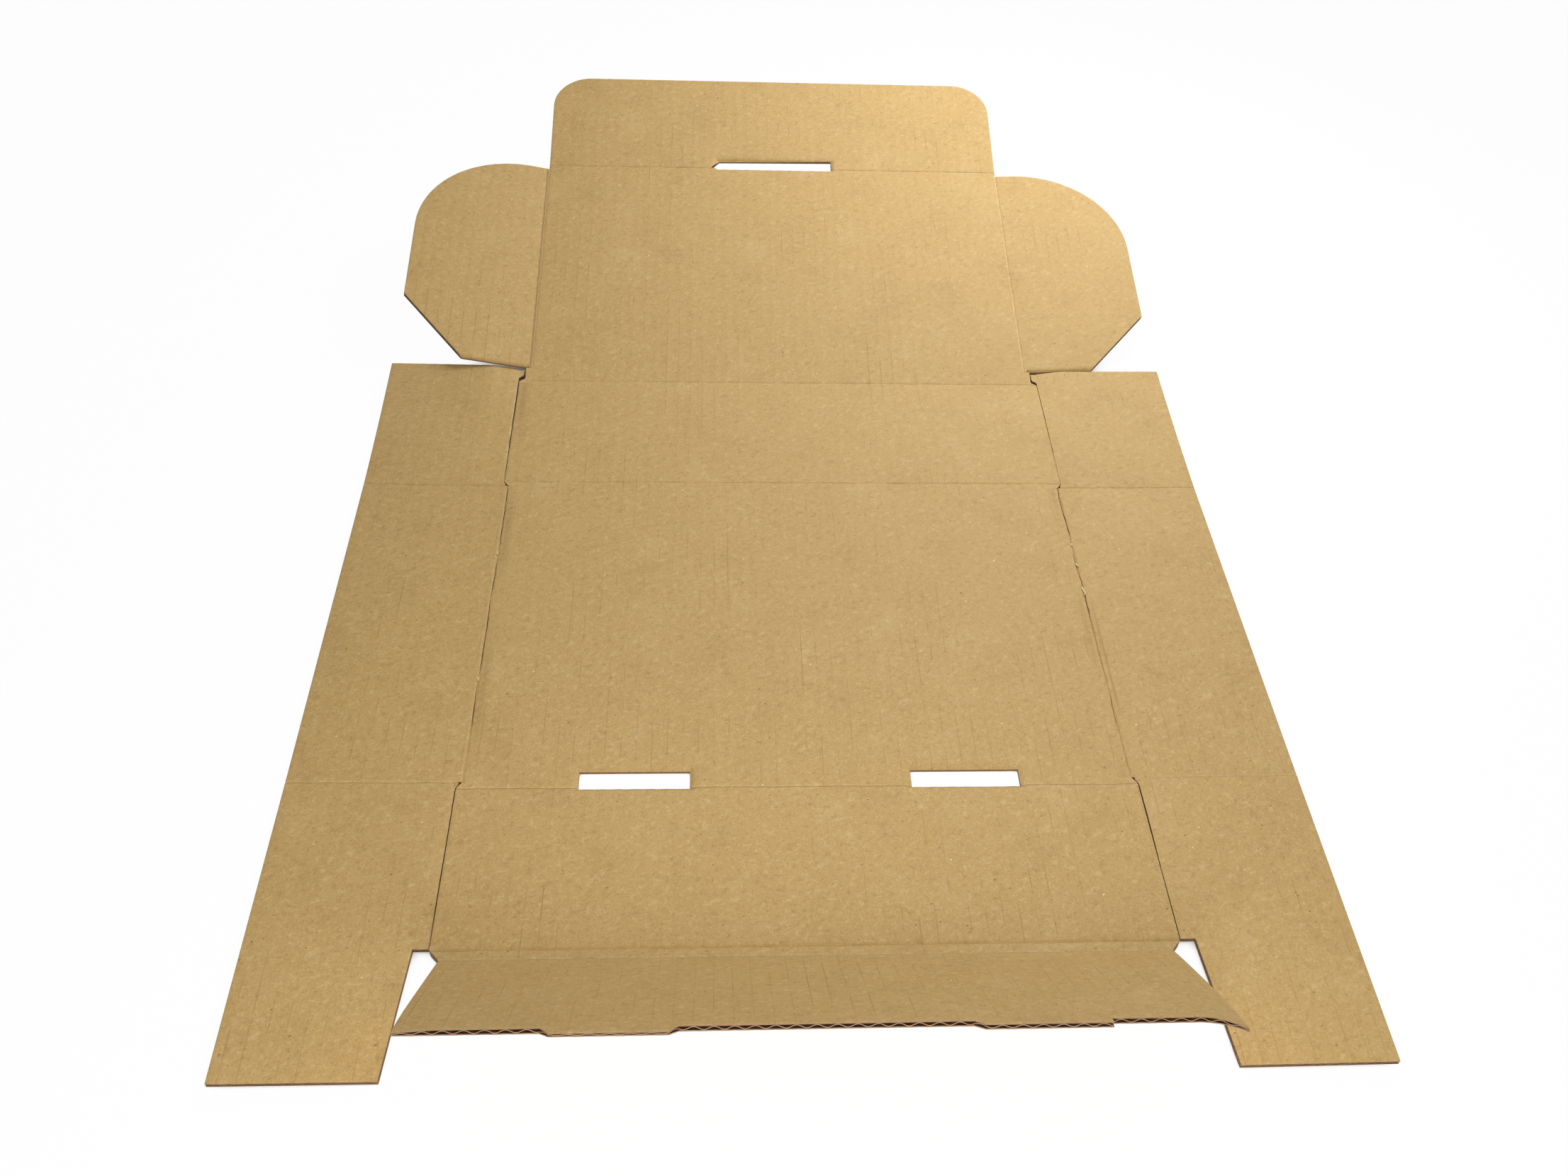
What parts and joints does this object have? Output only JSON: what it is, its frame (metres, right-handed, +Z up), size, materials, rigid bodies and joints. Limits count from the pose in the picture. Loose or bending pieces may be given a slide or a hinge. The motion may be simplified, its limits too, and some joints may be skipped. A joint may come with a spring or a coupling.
{
  "type": "corrugated cardboard mailer box",
  "caption": "Die-cut single-wall corrugated mailer box lying open as a flat blank, with a hinged lid, tuck flap, ears, corner flaps and a rolled lock front that fold up into a closed box.",
  "frame": {"origin": "middle of the base panel's underside, on the table", "axes": "+X to the right along the box's width, +Y from the front wall to the lid, +Z up out of the base"},
  "size_m": [0.408, 0.6004, 0.0594],
  "materials": {
    "kraft_board": "matte uncoated kraft"
  },
  "bodies": {
    "base": {"base_panel": "kraft_board"},
    "front_wall": {"front_wall": "kraft_board"},
    "strip": {"rollover_strip": "kraft_board"},
    "lock_flap": {"lock_flap": "kraft_board"},
    "back_wall": {"back_wall": "kraft_board"},
    "lid": {"lid": "kraft_board"},
    "tuck_flap": {"tuck_flap": "kraft_board"},
    "left_ear": {"left_ear": "kraft_board"},
    "right_ear": {"right_ear": "kraft_board"},
    "left_side": {"left_side_wall": "kraft_board"},
    "right_side": {"right_side_wall": "kraft_board"},
    "left_front_corner": {"left_front_corner_flap": "kraft_board"},
    "right_front_corner": {"right_front_corner_flap": "kraft_board"},
    "left_back_corner": {"left_back_corner_flap": "kraft_board"},
    "right_back_corner": {"right_back_corner_flap": "kraft_board"}
  },
  "joints": [
    {"name": "front_wall_fold", "type": "hinge", "parent": "base", "child": "front_wall", "pos_m": [0, -0.0885, 0.0026], "axis": [-1, 0, 0], "range_deg": [-1.4, 88.6]},
    {"name": "strip_fold", "type": "hinge", "parent": "front_wall", "child": "strip", "pos_m": [0, -0.15848, 0.00431], "axis": [-1, 0, 0], "range_deg": [-19, 71]},
    {"name": "lock_flap_fold", "type": "hinge", "parent": "strip", "child": "lock_flap", "pos_m": [0, -0.16317, 0.00605], "axis": [-1, 0, 0], "range_deg": [-26.5, 63.5]},
    {"name": "back_wall_fold", "type": "hinge", "parent": "base", "child": "back_wall", "pos_m": [0, 0.0885, 0.0026], "axis": [1, 0, 0], "range_deg": [-1.4, 88.6]},
    {"name": "lid_fold", "type": "hinge", "parent": "back_wall", "child": "lid", "pos_m": [0, 0.16348, 0.00443], "axis": [1, 0, 0], "range_deg": [-11, 79]},
    {"name": "tuck_flap_fold", "type": "hinge", "parent": "lid", "child": "tuck_flap", "pos_m": [0, 0.31975, 0.03879], "axis": [1, 0, 0], "range_deg": [-5, 85]},
    {"name": "left_ear_fold", "type": "hinge", "parent": "lid", "child": "left_ear", "pos_m": [-0.1315, 0.16348, 0.00443], "axis": [0, 0.9767, 0.2147], "range_deg": [-13, 77]},
    {"name": "right_ear_fold", "type": "hinge", "parent": "lid", "child": "right_ear", "pos_m": [0.1315, 0.16348, 0.00443], "axis": [0, -0.9767, -0.2147], "range_deg": [-3.5, 86.5]},
    {"name": "left_side_fold", "type": "hinge", "parent": "base", "child": "left_side", "pos_m": [-0.135, 0, 0.0026], "axis": [0, 1, 0], "range_deg": [-0.7, 89.3]},
    {"name": "left_front_corner_fold", "type": "hinge", "parent": "left_side", "child": "left_front_corner", "pos_m": [-0.135, -0.0855, 0.0026], "axis": [-0.9999, 0, 0.0122], "range_deg": [-0.6, 89.4]},
    {"name": "left_back_corner_fold", "type": "hinge", "parent": "left_side", "child": "left_back_corner", "pos_m": [-0.135, 0.0855, 0.0026], "axis": [0.9999, 0, -0.0122], "range_deg": [-1.6, 88.4]},
    {"name": "right_side_fold", "type": "hinge", "parent": "base", "child": "right_side", "pos_m": [0.135, 0, 0.0026], "axis": [0, -1, 0], "range_deg": [-0.7, 89.3]},
    {"name": "right_front_corner_fold", "type": "hinge", "parent": "right_side", "child": "right_front_corner", "pos_m": [0.135, -0.0855, 0.0026], "axis": [-0.9999, 0, -0.0122], "range_deg": [-0.6, 89.4]},
    {"name": "right_back_corner_fold", "type": "hinge", "parent": "right_side", "child": "right_back_corner", "pos_m": [0.135, 0.0855, 0.0026], "axis": [0.9999, 0, 0.0122], "range_deg": [-1.6, 88.4]}
  ]
}
